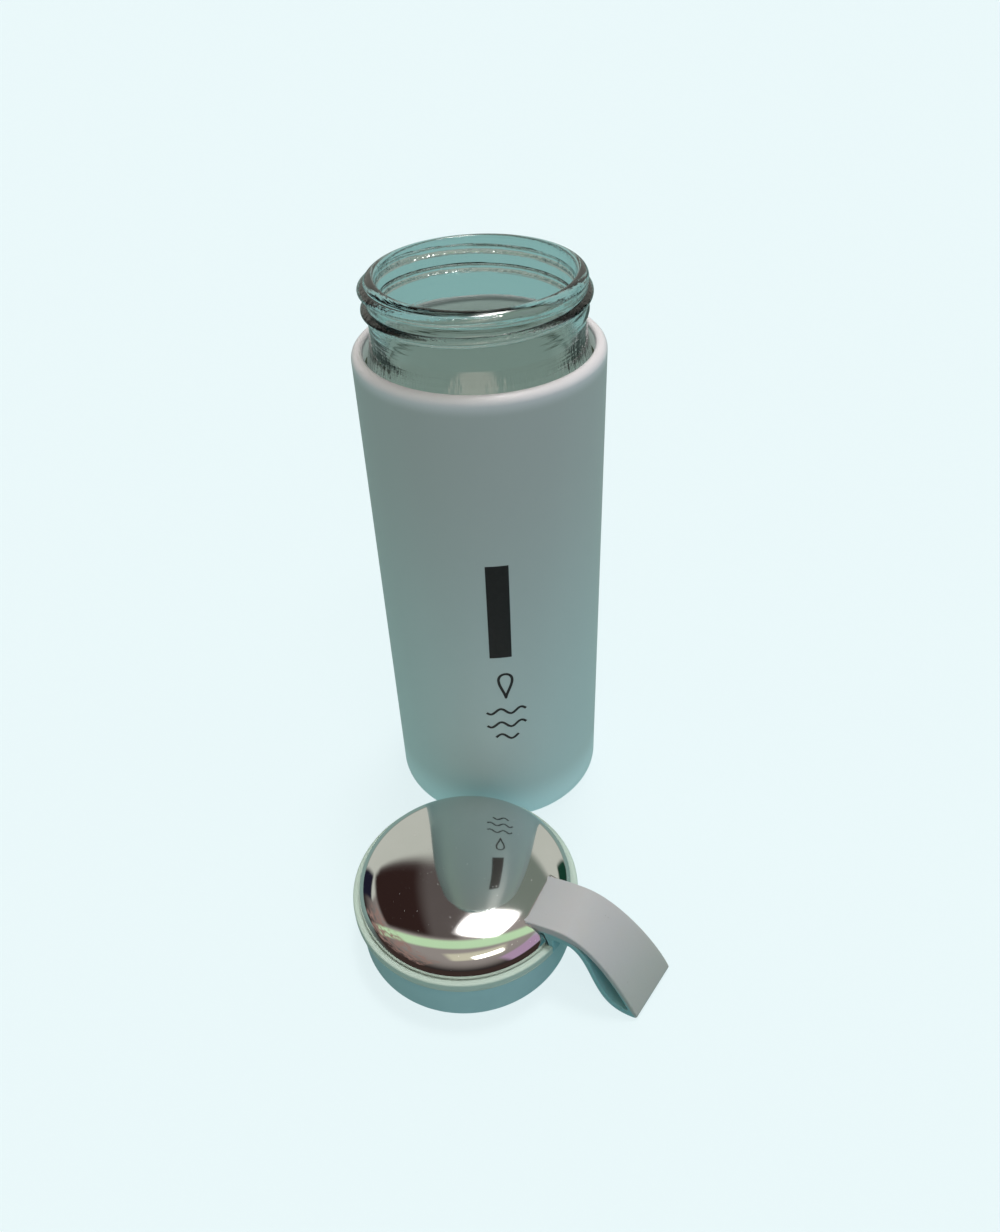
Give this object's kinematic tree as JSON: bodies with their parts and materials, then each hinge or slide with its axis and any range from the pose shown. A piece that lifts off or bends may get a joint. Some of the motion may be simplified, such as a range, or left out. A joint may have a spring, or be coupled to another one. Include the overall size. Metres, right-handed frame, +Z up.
{
  "type": "glass water bottle",
  "caption": "Small glass water bottle in a glossy plastic sleeve, with a domed mirror-finish screw cap standing beside it and a moulded carry loop.",
  "frame": {"origin": "centre of the bottle's base, on its axis, at the table surface", "axes": "+Z up along the bottle's axis, out of its mouth; -Y towards the cap that stands beside the bottle; +X to the right"},
  "size_m": [0.0872, 0.1369, 0.1653],
  "materials": {
    "sleeve_plastic": "glossy pale grey-green, smooth moulded",
    "bottle_glass": "clear with a green tint, fire-polished rim",
    "seal_rubber": "olive, translucent",
    "pad_rubber": "matte",
    "base_plastic": "fine matte",
    "dome_chrome": "mirror",
    "ring_plastic": "satin pale mint",
    "skirt_plastic": "satin grey-teal",
    "plug_plastic": "matte white",
    "silicone": "translucent silicone",
    "strap_rubber": "satin moulded silicone"
  },
  "bodies": {
    "bottle": {"outer_sleeve": "sleeve_plastic", "glass_bottle": "bottle_glass", "neck_seal": "seal_rubber", "shock_pad": "pad_rubber", "base_cover": "base_plastic"},
    "seal": {"cap_seal": "silicone"},
    "cap": {"chrome_cover": "dome_chrome", "cap_ring": "ring_plastic", "cap_base": "skirt_plastic", "inner_plug": "plug_plastic", "strap_root": "strap_rubber"},
    "loop": {"strap_loop": "strap_rubber"}
  },
  "joints": [
    {"name": "cap_lift", "type": "slide", "parent": "bottle", "child": "seal", "axis": [0, 0, 1], "range_m": [0, 0.21]},
    {"name": "cap_turn", "type": "hinge", "parent": "seal", "child": "cap", "pos_m": [-0.0116, -0.06863, 0], "axis": [0, 0, 1], "range_deg": [-180, 60]},
    {"name": "strap_flex", "type": "hinge", "parent": "cap", "child": "loop", "pos_m": [0.0179, -0.08471, 0.02185], "axis": [-0.4787, -0.878, 0], "range_deg": [0, 60], "stiffness_Nm_per_rad": 0.05}
  ]
}
